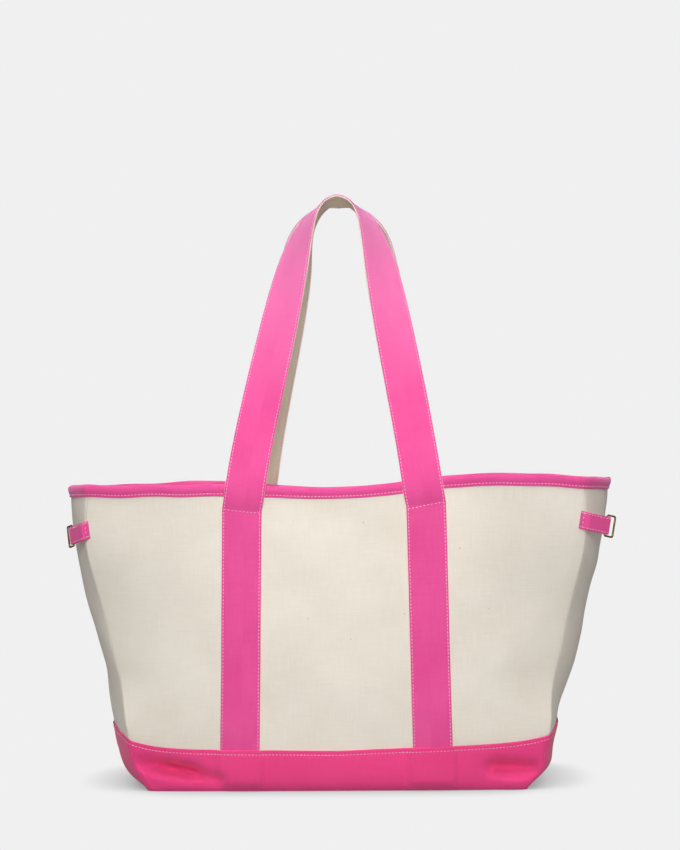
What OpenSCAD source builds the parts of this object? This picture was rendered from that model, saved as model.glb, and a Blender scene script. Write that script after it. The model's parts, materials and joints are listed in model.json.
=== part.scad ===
// Canvas beach tote: flared canvas body on a coloured base, bound rim, two strap
// handles, and four side tabs that each hold a small rectangular ring.
// Origin: middle of the bag on the surface it stands on. +X right, -Y front, +Z up.

/* [Body] */
// Width of the mouth, between the corner seams
mouth_w = 522; // [480:1:560]
// Depth of the mouth, between the corner seams
mouth_d = 164; // [150:1:184]
// Width of the base
base_w = 388; // [350:1:420]
// Depth of the base
base_d = 184; // [160:1:200]
// Height of the bound rim above the floor
body_h = 318; // [290:1:340]
// How early the corners flare out: 1 is a straight slope, more is a rounder foot
flare_power = 2.1; // [1:0.05:2.5]
// How far the middle of a gusset stands out beyond its corners, at the base band
gusset_bulge_foot = 22; // [14:1:26]
// The same at the rim
gusset_bulge_rim = 28; // [22:1:36]
// How far the middle of the front or back stands out, at the base band
face_bulge_foot = 7; // [3:1:10]
// The same at the rim
face_bulge_rim = 12; // [6:1:16]
// Height over which the walls round out of the base edge
foot_round = 6; // [4:1:10]

/* [Fabric] */
// Thickness of the body canvas
canvas_t = 2; // [1:0.1:2.5]
// Thickness of the base band
band_t = 1.6; // [1:0.1:2]
// Clearance between sewn layers
layer_gap = 0.25; // [0.2:0.05:0.4]

/* [Base band] */
// Height of the band in the middle of the front and back
band_face_h = 44; // [36:1:52]
// Height of the band at the corner seams
band_corner_h = 54; // [44:1:58]
// Height of the band in the middle of each gusset
band_side_h = 63; // [54:1:72]

/* [Rim binding] */
// Height of the binding
binding_h = 12; // [9:1:15]
// Thickness of each side of the binding
binding_t = 1.5; // [1:0.1:2]

/* [Straps] */
// Width of the strap
strap_w = 41; // [34:1:42]
// Thickness of the coloured face, and of the natural lining behind it
strap_ply_t = 1.3; // [1:0.1:1.5]
// Distance between the strap centres at the base
strap_spacing_base = 200; // [190:1:200]
// Distance between the strap centres at the cross stitching
strap_spacing_top = 190; // [184:1:200]
// Height of the cross stitching, where the handle comes free of the body
stitch_z = 292; // [285:1:300]
// Height of the bottom end of the strap, under the base band
strap_foot_z = 8; // [6:1:20]
// Height of the handle's top
handle_top = 615; // [580:1:660]
// Distance of the strap's middle line from the bag's middle plane, at the handle's top
handle_top_y = 22; // [22:0.5:40]
// Turn of the strap's face at the handle's top: 90 looks straight up, more leans to the middle
apex_turn = 102; // [90:1:110]

/* [Side tabs and rings] */
// Height of the middle of a right-hand tab where it leaves the corner seam
tab_z_right = 275; // [240:1:285]
// The same for a left-hand tab, which hangs lower on the soft body
tab_z_left = 269; // [240:1:285]
// Width of a tab
tab_w = 18.5; // [16:0.5:19]
// Length of a tab, from its pivot at the seam to the ring's bar
tab_l = 23; // [18:1:30]
// Thickness of the folded tab
tab_t = 3; // [2.5:0.1:3.4]
// Direction of the right-hand tabs, from straight sideways towards the back or front
tab_angle_right = 32; // [20:1:48]
// The same for the left-hand tabs
tab_angle_left = 54; // [20:1:54]
// How far the tabs droop below level
tab_droop = 12; // [0:1:20]
// Diameter of the ring's wire
wire_d = 2; // [1.6:0.1:2.4]
// Inside height of the ring
ring_in_h = 19.6; // [19.6:0.1:24]
// Inside width of the ring
ring_in_w = 8.5; // [8:0.5:12]

/* [Hidden] */

CANVAS = "#e7e0d5";
LINING = "#e3d9c8";
PINK = "#ed5898";
PINK_DEEP = "#e54481";
BRASS = "#8f7a4d";

// The four walls, counted anticlockwise seen from above
FRONT = 0;
RIGHT = 1;
BACK = 2;
LEFT = 3;
// Unit directions of each wall: along it, and out of the bag
WALL_ALONG = [[1, 0], [0, 1], [-1, 0], [0, -1]];
WALL_OUT = [[0, -1], [1, 0], [0, 1], [-1, 0]];

// Bottom plies and the height at which the walls start
bottom_t = 2;
wall_z = bottom_t + 0.3;
// Gap left between two panels at a corner seam
seam_gap = 0.12;
// Room between the binding and the canvas it wraps
binding_room = 0.5;
binding_out = binding_room + binding_t;
canvas_top = body_h - binding_t - binding_room;

// Columns across a wall, from -1 at one corner seam to 1 at the other. The front and back
// have columns on both sides of each strap, where the base band steps out over it.
face_half = [0.15, 0.28, 0.33, 0.42, 0.52, 0.61, 0.66, 0.8, 0.92, 1];
face_cols = concat([for (i = [len(face_half) - 1:-1:0]) -face_half[i]], [0], face_half);
strap_cols = [0.33, 0.61];
side_step = 0.2;
side_cols = [for (u = [-5:5]) u * side_step];
// Rows up a wall, as fractions of the band's height and then of the canvas above it
band_rows = [0, 0.07, 0.2, 0.45, 0.72, 1];
upper_rows = [0.12, 0.3, 0.5, 0.7, 0.87, 1];

// Offsets from the outer face of the canvas, outwards
lining_in = layer_gap;
lining_out = lining_in + strap_ply_t;
face_in = lining_out + 0.1;
face_out = face_in + strap_ply_t;
band_flat_in = layer_gap;
band_strap_in = face_out + layer_gap;

// Control points of the handle's curve, as distance from the bag's middle line, distance from
// its middle plane, and height. The first is at the cross stitching, the last at the top.
handle_curve = [
    [strap_spacing_top / 2, 95.6, stitch_z + 0.3],
    [strap_spacing_top / 2 - 9, 114, stitch_z + 42],
    [strap_spacing_top / 2 - 1, 65, stitch_z + 96],
    [32, 44, handle_top - 84],
    [58, handle_top_y, handle_top],
    [0, handle_top_y, handle_top]
];
// Half of the clearance between the handle's face and its lining
ply_gap = 0.05;
handle_steps = 22;
// The handle's foot follows the cross stitching over this share of its length
foot_share = 0.1;
// Powers that spread the handle's turn over its length, at the top and at the feet
turn_start = 1.3;
turn_end = 3;

// Seam tape over the raw edges inside each corner
tape_w = 10;
tape_t = 1.8;
tape_in = 3;
tape_foot_z = 7;
tape_top_z = 303;

// Room between the ring's bar and the tab's loop, the loop's own wall, and how far the
// loose loop runs on past the bar
bar_room = 0.3;
loop_wall = 1.1;
loop_r = wire_d / 2 + bar_room + loop_wall;
loop_slack = 3.2;
// Distance of a tab's pivot from the corner seam
tab_stand_off = 3;
fine = 48;

// ---- Shape of the body ----

function lerp(a, b, t) = a + (b - a) * t;
function unit(v) = v / norm(v);

// Half width and half depth between the corner seams at height z
function half_w(z) = lerp(mouth_w, base_w, pow(1 - z / body_h, flare_power)) / 2;
function half_d(z) = lerp(base_d, mouth_d, z / body_h) / 2;
// Rounding of a wall out of the base edge
function rounding(z) = 1 - exp(-z / foot_round);
function bulge(foot, rim, z) = foot * rounding(z) + (rim - foot) * pow(z / body_h, 1.5);
function is_face(wall) = wall % 2 == 0;

// Half length of a wall, its distance out at column u, and its slope there
function reach(wall, z) = is_face(wall) ? half_w(z) : half_d(z);
function out_at(wall, u, z) = is_face(wall)
    ? half_d(z) + bulge(face_bulge_foot, face_bulge_rim, z) * (1 - pow(u, 4))
    : half_w(z) + bulge(gusset_bulge_foot, gusset_bulge_rim, z) * (1 - u * u);
function slope(wall, u, z) = is_face(wall)
    ? -4 * bulge(face_bulge_foot, face_bulge_rim, z) * pow(u, 3) / half_w(z)
    : -2 * bulge(gusset_bulge_foot, gusset_bulge_rim, z) * u / half_d(z);
function wall_normal(wall, u, z) = unit(WALL_OUT[wall] - slope(wall, u, z) * WALL_ALONG[wall]);

// At a corner seam the layers meet on the line that halves the corner
function next_wall(wall, u) = (wall + (u > 0 ? 1 : 3)) % 4;
function mitre(a, b) = (a + b) / (1 + a * b);
function layer_normal(wall, u, z) = abs(u) < 0.999
    ? wall_normal(wall, u, z)
    : mitre(wall_normal(wall, sign(u), z), wall_normal(next_wall(wall, u), -sign(u), z));

// A point on a wall at column u and height z, off millimetres outside the canvas
function wall_point(wall, u, z, off, gap = 0) = let (
    corner = abs(u) > 0.999 ? sign(u) * gap : 0,
    flat = (u * reach(wall, z) - corner) * WALL_ALONG[wall] + out_at(wall, u, z) * WALL_OUT[wall],
    p = flat + off * layer_normal(wall, u, z)
) [p.x, p.y, z];

// Height of the base band's top edge
function band_top(wall, u) = is_face(wall)
    ? lerp(band_face_h, band_corner_h, pow(u, 4))
    : lerp(band_side_h, band_corner_h, u * u);
function band_row_z(wall, u, share) = lerp(wall_z, band_top(wall, u), share);
function upper_row_z(wall, u, share) = lerp(band_top(wall, u), canvas_top, share);

// ---- Closed solids from grids of points ----

function flatten(lists) = [for (list = lists) each list];
function quad(a, b, c, d) = [[a, b, c], [a, c, d]];

// A sheet between two grids of the same size: rows go up, columns go right, seen from outside
module slab(outer, inner) {
    rows = len(outer);
    cols = len(outer[0]);
    half = rows * cols;
    last_row = (rows - 1) * cols;
    sheets = [for (r = [0:rows - 2], c = [0:cols - 2]) let (a = r * cols + c)
        concat(quad(a, a + cols, a + cols + 1, a + 1),
               quad(half + a, half + a + 1, half + a + cols + 1, half + a + cols))];
    sides = [for (r = [0:rows - 2]) let (a = r * cols, b = a + cols - 1)
        concat(quad(a, half + a, half + a + cols, a + cols),
               quad(b, b + cols, half + b + cols, half + b))];
    ends = [for (c = [0:cols - 2]) let (a = last_row + c)
        concat(quad(c, c + 1, half + c + 1, half + c),
               quad(a + 1, a, half + a, half + a + 1))];
    polyhedron(concat(flatten(outer), flatten(inner)), flatten(concat(sheets, sides, ends)));
}

// A closed ring of equal sections, each a closed loop of points
module hoop(sections) {
    count = len(sections);
    size = len(sections[0]);
    faces = [for (r = [0:count - 1], p = [0:size - 1]) let (
        next_r = (r + 1) % count,
        next_p = (p + 1) % size
    ) quad(r * size + p, r * size + next_p, next_r * size + next_p, next_r * size + p)];
    polyhedron(flatten(sections), flatten(faces));
}

// ---- Body canvas ----

function wall_cols(wall) = is_face(wall) ? face_cols : side_cols;

function canvas_grid(wall, off) = concat(
    [for (share = band_rows) [for (u = wall_cols(wall))
        wall_point(wall, u, band_row_z(wall, u, share), off, seam_gap)]],
    [for (share = upper_rows) [for (u = wall_cols(wall))
        wall_point(wall, u, upper_row_z(wall, u, share), off, seam_gap)]]
);

module canvas_wall(wall) {
    color(CANVAS) slab(canvas_grid(wall, 0), canvas_grid(wall, -canvas_t));
}

// Outline of the bag at height z
function outline(z, off) = [for (wall = [FRONT:LEFT], i = [0:len(wall_cols(wall)) - 2])
    let (p = wall_point(wall, wall_cols(wall)[i], z, off)) [p.x, p.y]];

module inner_base() {
    color(CANVAS) translate([0, 0, wall_z])
        linear_extrude(canvas_t) polygon(outline(wall_z, -canvas_t - 2 * layer_gap));
}

// Tape folded over the raw edges of a corner seam, pressed flat on the front or back panel
module seam_tape(wall, side) {
    rows = 7;
    edge = [tape_in + tape_w, tape_in];
    function tape_grid(off) = [for (r = [0:rows]) let (z = lerp(tape_foot_z, tape_top_z, r / rows))
        [for (e = side > 0 ? edge : [-edge[1], -edge[0]])
            wall_point(wall, side - e / half_w(z), z, off)]];
    color(CANVAS) slab(tape_grid(-canvas_t - layer_gap), tape_grid(-canvas_t - layer_gap - tape_t));
}

// ---- Base ----

module base_bottom() {
    color(PINK_DEEP) linear_extrude(bottom_t)
        polygon(outline(wall_z, band_flat_in + band_t));
}

// The band steps out where it passes over a strap
function over_strap(wall, u) = is_face(wall)
    && abs(u) > strap_cols[0] - 0.001 && abs(u) < strap_cols[1] + 0.001;
function band_in(wall, u) = over_strap(wall, u) ? band_strap_in : band_flat_in;
function band_grid(wall, off) = [for (share = band_rows) [for (u = wall_cols(wall))
    wall_point(wall, u, band_row_z(wall, u, share), band_in(wall, u) + off, seam_gap)]];

module base_band(wall) {
    color(PINK) slab(band_grid(wall, band_t), band_grid(wall, 0));
}

// ---- Rim ----

// Section of the binding, as offset from the canvas face and depth below the rim
binding_profile = [
    [binding_out, binding_h],
    [binding_out, binding_t],
    [binding_out - binding_t, 0],
    [-canvas_t - binding_room, 0],
    [-canvas_t - binding_out, binding_t],
    [-canvas_t - binding_out, binding_h],
    [-canvas_t - binding_room, binding_h],
    [-canvas_t - binding_room, binding_t],
    [binding_room, binding_t],
    [binding_room, binding_h]
];

module rim_binding() {
    color(PINK) hoop([for (wall = [FRONT:LEFT], i = [0:len(wall_cols(wall)) - 2])
        [for (p = binding_profile) wall_point(wall, wall_cols(wall)[i], body_h - p.y, p.x)]]);
}

// ---- Straps and handles ----

// Heights of a strap's rows: its ends, and the rows of the canvas that lie between them
canvas_heights = concat(
    [for (share = band_rows) band_row_z(FRONT, strap_cols[0], share)],
    [for (share = upper_rows) upper_row_z(FRONT, strap_cols[0], share)]
);
strap_heights = concat(
    [strap_foot_z],
    [for (z = canvas_heights) if (z > strap_foot_z + 1 && z < stitch_z - 1) z],
    [stitch_z]
);

// One ply of the sewn part of a strap, from under the base band up to the cross stitching
module sewn_ply(wall, side, inside, outside) {
    cols = 4;
    function centre(z) = lerp(strap_spacing_base, strap_spacing_top, z / stitch_z) / 2;
    function strap_grid(off) = [for (z = strap_heights)
        [for (c = [0:cols]) let (x = side * centre(z) + (c / cols - 0.5) * strap_w)
            wall_point(wall, x / half_w(z), z, off)]];
    slab(strap_grid(outside), strap_grid(inside));
}

module strap(wall, side) {
    color(PINK) sewn_ply(wall, side, face_in, face_out);
}

module strap_lining(wall, side) {
    color(LINING) sewn_ply(wall, side, lining_in, lining_out);
}

function choose(n, k) = k == 0 ? 1 : choose(n, k - 1) * (n - k + 1) / k;
function curve_at(points, t) = let (n = len(points) - 1)
    [for (axis = [0:2]) [for (k = [0:n]) choose(n, k) * pow(t, k) * pow(1 - t, n - k)]
        * [for (p = points) p[axis]]];

// A point of the front handle's middle line, t from -1 at the left foot to 1 at the right
function handle_point(t) = let (p = curve_at(handle_curve, 1 - abs(t)))
    [(t < 0 ? -1 : 1) * p.x, -p.y, p.z];
function handle_tangent(t) = let (e = 0.002) unit(
    handle_point(min(1, t + e)) - handle_point(max(-1, t - e)));

// The strap faces forward at its feet and turns to face outwards and up at the top
function handle_frame(t) = let (
    along = handle_tangent(t),
    forward = [0, -1, 0],
    level = unit(forward - (forward * along) * along),
    outward = cross(level, along),
    turn = apex_turn * pow(1 - pow(abs(t), turn_start), turn_end),
    free = cos(turn) * level + sin(turn) * outward,
    settle = min(1, (1 - abs(t)) / foot_share),
    facing = unit(lerp(forward, free, settle)),
    across = unit(lerp([t < 0 ? 1 : -1, 0, 0], cross(along, free), settle))
) [facing, across];

function handle_grid(off) = [for (i = [-handle_steps:handle_steps]) let (
        t = i / handle_steps,
        frame = handle_frame(t)
    ) [for (side = [-1, 1])
        handle_point(t) + off * frame[0] + side * strap_w / 2 * frame[1]]];

module handle_face() {
    color(PINK) slab(handle_grid(strap_ply_t), handle_grid(ply_gap));
}

module handle_lining() {
    color(LINING) slab(handle_grid(-ply_gap), handle_grid(-strap_ply_t));
}

module behind() {
    mirror([0, 1, 0]) children();
}

// ---- Side tabs and rings ----

function tab_z(side) = side > 0 ? tab_z_right : tab_z_left;

// Pivot of a tab, just outside the corner between a gusset and the front
function tab_pivot(side) = let (
    seam = wall_point(FRONT, side, tab_z(side), 0),
    away = tab_stand_off * unit(layer_normal(FRONT, side, tab_z(side)))
) [seam.x + away.x, seam.y + away.y, tab_z(side)];

// Puts a front tab's own X axis along the tab, from the corner seam outwards
module at_tab(side) {
    heading = side > 0 ? tab_angle_right : 180 - tab_angle_left;
    translate(tab_pivot(side)) rotate([0, tab_droop, heading]) children();
}

// A bar with rounded ends, standing along Z from x = start for the length run
module round_bar(start, run, r, h) {
    translate([start, -r, -h / 2]) cube([run, 2 * r, h]);
    for (x = [start, start + run])
        translate([x, 0, -h / 2]) cylinder(h = h, r = r, $fn = fine);
}

module tab(side) {
    color(PINK) at_tab(side) difference() {
        union() {
            round_bar(0, tab_l, tab_t / 2, tab_w);
            round_bar(tab_l, loop_slack, loop_r, tab_w);
        }
        round_bar(tab_l, loop_slack, loop_r - loop_wall, tab_w + 2);
    }
}

module ring(side) {
    bar_h = ring_in_h + wire_d;
    bar_w = ring_in_w + wire_d;
    color(BRASS) at_tab(side) translate([tab_l, 0, 0]) {
        for (x = [0, bar_w]) {
            translate([x, 0, -bar_h / 2]) cylinder(h = bar_h, d = wire_d, $fn = fine);
            for (z = [-bar_h / 2, bar_h / 2])
                translate([x, 0, z]) sphere(d = wire_d, $fn = fine);
        }
        for (z = [-bar_h / 2, bar_h / 2])
            translate([0, 0, z]) rotate([0, 90, 0]) cylinder(h = bar_w, d = wire_d, $fn = fine);
    }
}

canvas_wall(FRONT);  // front_panel
canvas_wall(BACK);  // back_panel
canvas_wall(LEFT);  // left_gusset
canvas_wall(RIGHT);  // right_gusset
inner_base();
base_bottom();
base_band(FRONT);  // base_front
base_band(BACK);  // base_back
base_band(LEFT);  // base_left
base_band(RIGHT);  // base_right
rim_binding();
strap(FRONT, -1);  // strap_front_left
strap(FRONT, 1);  // strap_front_right
strap(BACK, 1);  // strap_back_left
strap(BACK, -1);  // strap_back_right
strap_lining(FRONT, -1);  // strap_lining_front_left
strap_lining(FRONT, 1);  // strap_lining_front_right
strap_lining(BACK, 1);  // strap_lining_back_left
strap_lining(BACK, -1);  // strap_lining_back_right
handle_face();  // front_handle_face
handle_lining();  // front_handle_lining
behind() handle_face();  // back_handle_face
behind() handle_lining();  // back_handle_lining
seam_tape(FRONT, -1);  // seam_tape_front_left
seam_tape(FRONT, 1);  // seam_tape_front_right
seam_tape(BACK, 1);  // seam_tape_back_left
seam_tape(BACK, -1);  // seam_tape_back_right
tab(-1);  // tab_front_left
tab(1);  // tab_front_right
behind() tab(-1);  // tab_back_left
behind() tab(1);  // tab_back_right
ring(-1);  // ring_front_left
ring(1);  // ring_front_right
behind() ring(-1);  // ring_back_left
behind() ring(1);  // ring_back_right
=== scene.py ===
"""Canvas beach tote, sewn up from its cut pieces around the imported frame.

Order: shape of the soft body, meshes of the sewn pieces, stitches, hardware, cloth and
metal finishes, then the studio. Lengths are in metres, with MM for millimetres.
"""

import json
import math

import bmesh
import bpy
import numpy as np
from mathutils import Matrix, Vector


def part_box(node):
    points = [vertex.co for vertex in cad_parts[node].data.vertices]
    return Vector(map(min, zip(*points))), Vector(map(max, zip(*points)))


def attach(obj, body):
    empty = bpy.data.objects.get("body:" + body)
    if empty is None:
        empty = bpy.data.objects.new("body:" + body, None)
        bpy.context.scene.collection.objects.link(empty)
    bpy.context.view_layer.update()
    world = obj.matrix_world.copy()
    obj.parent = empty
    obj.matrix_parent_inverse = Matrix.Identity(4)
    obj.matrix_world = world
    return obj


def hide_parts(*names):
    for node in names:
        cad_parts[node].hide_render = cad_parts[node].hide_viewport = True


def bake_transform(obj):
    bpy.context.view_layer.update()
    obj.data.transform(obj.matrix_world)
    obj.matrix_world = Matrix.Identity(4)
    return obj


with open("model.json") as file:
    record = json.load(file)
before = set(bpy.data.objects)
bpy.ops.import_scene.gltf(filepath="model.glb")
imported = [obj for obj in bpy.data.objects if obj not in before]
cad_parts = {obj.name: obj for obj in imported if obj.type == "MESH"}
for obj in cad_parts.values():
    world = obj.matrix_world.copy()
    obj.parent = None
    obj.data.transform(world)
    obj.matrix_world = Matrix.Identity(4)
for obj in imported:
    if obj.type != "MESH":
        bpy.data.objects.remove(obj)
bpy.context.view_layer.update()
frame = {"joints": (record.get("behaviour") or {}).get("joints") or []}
JOINTS = {joint["name"]: joint for joint in frame["joints"]}
MM = 0.001

# Cut of the bag: the same driving dimensions as the frame's
MOUTH_W = 522 * MM
MOUTH_D = 164 * MM
BASE_W = 388 * MM
BASE_D = 184 * MM
FLARE = 2.1
FOOT_ROUND = 6 * MM
GUSSET_BULGE = (22 * MM, 28 * MM)
FACE_BULGE = (7 * MM, 12 * MM)
RIM_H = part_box("rim_binding")[1].z
FOOT_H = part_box("front_panel")[0].z
CANVAS_T = 1.2 * MM
CANVAS_TOP = RIM_H - 3 * MM
# Lowest and highest side of the two plies of the bottom
FLOOR_PLY = (3.2 * MM, 4.4 * MM)
BASE_PLY = (0.1 * MM, 2.2 * MM)

STRAP_W = 41 * MM
STRAP_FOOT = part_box("strap_front_left")[0].z
STRAP_SPACING = (200 * MM, 190 * MM)
# Height of the cross stitching, where a handle comes free and folds
STITCH_H = JOINTS["front_handle_fold"]["pos_m"][2]
# Distance of the middle of a strap's two plies from the canvas
PLY_OFF = 1.6 * MM
# Distance of a strap's edge stitching from its middle line
STRAP_STITCH_V = 18.5 * MM
# Rows of points up the sewn part of a strap, and over its handle from foot to foot
SEWN_ROWS = 74
HANDLE_ROWS = 231

# The four walls: direction along each, and out of the bag, anticlockwise from above
WALLS = {
    "front": (np.array([1.0, 0, 0]), np.array([0, -1.0, 0])),
    "right": (np.array([0, 1.0, 0]), np.array([1.0, 0, 0])),
    "back": (np.array([-1.0, 0, 0]), np.array([0, 1.0, 0])),
    "left": (np.array([0, -1.0, 0]), np.array([-1.0, 0, 0])),
}
WALL_ORDER = list(WALLS)
FACES = ("front", "back")
# Which way x runs along each face, from its own left to its own right
FACE_SIGN = {"front": 1, "back": -1}

# How far from a corner seam its layers are mitred, for close layers and for the rounding
CLOSE_MITRE = 3 * MM
WIDE_MITRE = 40 * MM
SEAM_GROOVE_W = 1.8 * MM
# Height of the side tabs on their seams
TAB_H = 262 * MM


# ---- Shape of the soft body ----

def mix(a, b, t):
    return a + (b - a) * t


def smooth(low, high, value):
    t = np.clip((value - low) / (high - low), 0, 1)
    return t * t * (3 - 2 * t)


def hump(value, middle, radius):
    return np.exp(-((value - middle) / radius) ** 2)


def half_w(h):
    return mix(MOUTH_W, BASE_W, np.clip(1 - h / RIM_H, 0, 1) ** FLARE) / 2


def half_d(h):
    return mix(BASE_D, MOUTH_D, h / RIM_H) / 2


def bulge(sizes, h):
    foot, rim = sizes
    return foot * (1 - np.exp(-h / FOOT_ROUND)) + (rim - foot) * (h / RIM_H) ** 1.5


def unit(v):
    return v / np.linalg.norm(v, axis=-1, keepdims=True)


def flat_wall(wall, u, h):
    """A wall as cut and sewn, before it sags: half length, place and outward direction."""
    along, outward = WALLS[wall]
    if wall in FACES:
        reach = half_w(h)
        swell = bulge(FACE_BULGE, h)
        out = half_d(h) + swell * (1 - u ** 4)
        slope = -4 * swell * u ** 3 / reach
    else:
        reach = half_d(h)
        swell = bulge(GUSSET_BULGE, h)
        out = half_w(h) + swell * (1 - u ** 2)
        slope = -2 * swell * u / reach
    place = (u * reach)[..., None] * along + out[..., None] * outward
    return reach, place, unit(outward - slope[..., None] * along)


def corner_facing(wall, u, h):
    """Direction that halves the corner between a wall and the next one, for layers there."""
    side = np.where(u > 0, 1.0, -1.0)
    step = WALL_ORDER.index(wall)
    own = flat_wall(wall, side, h)[2]
    after = flat_wall(WALL_ORDER[(step + 1) % 4], -np.ones_like(u), h)[2]
    before = flat_wall(WALL_ORDER[step - 1], np.ones_like(u), h)[2]
    other = np.where((side > 0)[..., None], after, before)
    dot = (own * other).sum(-1, keepdims=True)
    return (own + other) / (1 + dot)


def ripples(a, b, seed, waves, size, height):
    """Soft unevenness of slack cloth: plane waves of about one size, in fixed random directions."""
    rng = np.random.default_rng(seed)
    total = np.zeros(np.broadcast(a, b).shape)
    for _ in range(waves):
        turn, phase = rng.uniform(0, 2 * math.pi, 2)
        length = size * rng.uniform(0.75, 1.35)
        total += np.sin((a * math.cos(turn) + b * math.sin(turn)) * 2 * math.pi / length + phase)
    return total * height / math.sqrt(waves)


def valley(x, h, start, end, width, depth):
    """A crease from one point of a face to another, pressed in by depth."""
    start, end = np.array(start) * MM, np.array(end) * MM
    run = end - start
    t = ((x - start[0]) * run[0] + (h - start[1]) * run[1]) / (run @ run)
    t = np.clip(t, 0, 1)
    away = np.hypot(x - start[0] - t * run[0], h - start[1] - t * run[1])
    return -depth * MM * np.exp(-(away / (width * MM)) ** 2)


def front_dents(x, h):
    """Two places where the base band is pushed in near its ends."""
    dents = valley(x, h, (-200, 29), (-150, 20), 8, 11) + valley(x, h, (-176, 25), (-122, 12), 7, 7)
    dents += valley(x, h, (162, 24), (196, 21), 8, 12)
    return dents - valley(x, h, (178, 8), (192, 8), 7, 3)


def front_folds(x, h):
    folds = valley(x, h, (248, 246), (124, 136), 30, 2)
    folds -= valley(x, h, (236, 196), (150, 112), 32, 1.2)
    folds += valley(x, h, (-205, 262), (-160, 205), 28, 1.2)
    return folds + valley(x, h, (3, 128), (3, 156), 22, 1.6)


def gusset_sag(wall, u, h):
    """The gussets hang flatter than they were cut, the left one fuller at its foot."""
    slack = 1 - smooth(240 * MM, 300 * MM, h)
    if wall == "right":
        stand = 5 - (8 + 9.5 * hump(h, 60 * MM, 42 * MM)) * slack
    else:
        stand = -3.3 * slack + 9 * hump(h, 10 * MM, 32 * MM)
    return stand * MM * (1 - u ** 2)


def relief(wall, u, reach, h):
    """How far the slack cloth of a wall stands in or out of its cut shape."""
    across = u * reach
    seed = WALL_ORDER.index(wall)
    sag = ripples(across, h, 11 + seed, 5, 120 * MM, 1.3 * MM)
    sag = sag + ripples(across, h, 41 + seed, 7, 42 * MM, 0.22 * MM)
    sag = sag * smooth(0, 60 * MM, h) * (1 - 0.6 * smooth(0.86, 1, h / RIM_H))
    if wall == "front":
        return (sag + front_folds(across, h)) * (1 - u ** 6) + front_dents(across, h) * (1 - u ** 24)
    if wall == "back":
        sag = sag + valley(across, h, (-170, 15), (-120, 20), 12, 5)
        return (sag + valley(across, h, (-210, 220), (-130, 130), 24, 3.5)) * (1 - u ** 6)
    sag = sag + valley(across, h, (-40, 20), (30, 24), 14, 4)
    sag = sag + valley(across, h, (0, 300), (0, 130), 30, 4)
    return sag * (1 - u ** 6) + gusset_sag(wall, u, h)


def corner_round(distance, h):
    """How far a corner is drawn in: most at mid height, not at all where a tab is sewn in."""
    slack = 0.08 + 0.92 * smooth(50 * MM, 120 * MM, h) - 0.68 * smooth(0.5, 0.82, h / RIM_H)
    slack = slack * (1 - hump(h, TAB_H, 34 * MM))
    return (5 * np.exp(-distance / (24 * MM)) + 9 * hump(distance, 0, 75 * MM)) * MM * slack


def corner_push(x, h):
    """The filled foot of each corner pushes outwards, more on the right."""
    far = smooth(BASE_W / 2 - 50 * MM, BASE_W / 2 + 5 * MM, np.abs(x))
    right = 8 * hump(h, 22 * MM, 16 * MM) + 4 * hump(h, 55 * MM, 25 * MM)
    size = np.where(x > 0, right, 4 * hump(h, 28 * MM, 20 * MM))
    return np.sign(x) * size * MM * far


def front_rise(x):
    """The front rim dips in its middle and stands highest over the right-hand strap."""
    x = x / MM
    dip = -1.3 - 3.6 * hump(x, -5, 70)
    return (dip + 9.2 * smooth(28, 155, x) - 5.5 * smooth(180, 290, x)) * MM


def back_rise(x):
    x = x / MM
    return (-3 + 1.3 * x / 260 + 3 * hump(x, -150, 50) - 7 * hump(x, 0, 90)) * MM


def rim_rise(wall, u):
    """Height that the slack rim stands above or below its cut height."""
    _, place, _ = flat_wall(wall, u, np.full_like(u, RIM_H))
    to_back = np.clip(place[..., 1] / MOUTH_D + 0.5, 0, 1)
    x = place[..., 0]
    wave = ripples(x, place[..., 1], 71, 5, 60 * MM, 0.5 * MM)
    return mix(front_rise(x), back_rise(x), to_back) + wave


def surface(wall, u, h, off=0.0):
    """Points of the sagging bag: u from -1 to 1 across a wall, h up it, off outside its canvas."""
    u, h, off = np.broadcast_arrays(*(np.asarray(v, float) for v in (u, h, off)))
    reach, place, facing = flat_wall(wall, u, h)
    distance = (1 - np.abs(u)) * reach
    mitre = corner_facing(wall, u, h)
    close = mix(facing, mitre, np.exp(-distance / CLOSE_MITRE)[..., None])
    wide = mix(facing, mitre, np.exp(-distance / WIDE_MITRE)[..., None])
    seam = 0.25 + 1.5 * (1 - smooth(40 * MM, 70 * MM, h)) + 0.65 * smooth(0.8, 0.9, h / RIM_H)
    groove = seam * MM * np.exp(-distance / SEAM_GROOVE_W)
    stand = off + relief(wall, u, reach, h) - groove
    point = place + close * stand[..., None] - wide * corner_round(distance, h)[..., None]
    point[..., 0] += corner_push(point[..., 0], h)
    point[..., 2] = h + rim_rise(wall, u) * (h / RIM_H) ** 2
    return point


# ---- Meshes ----

# How strongly the columns of a wall crowd towards its corner seams; 1 is evenly spaced
CROWDING = 1.25


def columns(count):
    """Places across a wall, closer together towards its corner seams."""
    t = np.linspace(-1, 1, count)
    return np.sign(t) * (1 - (1 - np.abs(t)) ** CROWDING)


def in_scene(name, data):
    """A new object in the scene from a mesh, lamp or lens."""
    made = bpy.data.objects.new(name, data)
    bpy.context.scene.collection.objects.link(made)
    return made


def finish_piece(piece, body):
    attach(piece, body)


def new_object(name, points, faces, uvs, material):
    """A smooth mesh with one UV pair for each corner of each face, facing outwards."""
    mesh = bpy.data.meshes.new(name)
    mesh.from_pydata(np.asarray(points).reshape(-1, 3).tolist(), [], faces)
    layer = mesh.uv_layers.new(name="cloth")
    layer.data.foreach_set("uv", np.asarray(uvs, float).reshape(-1))
    mesh.materials.append(material)
    shell = bmesh.new()
    shell.from_mesh(mesh)
    bmesh.ops.recalc_face_normals(shell, faces=shell.faces)
    shell.to_mesh(mesh)
    shell.free()
    mesh.polygons.foreach_set("use_smooth", [True] * len(mesh.polygons))
    return in_scene(name, mesh)


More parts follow.
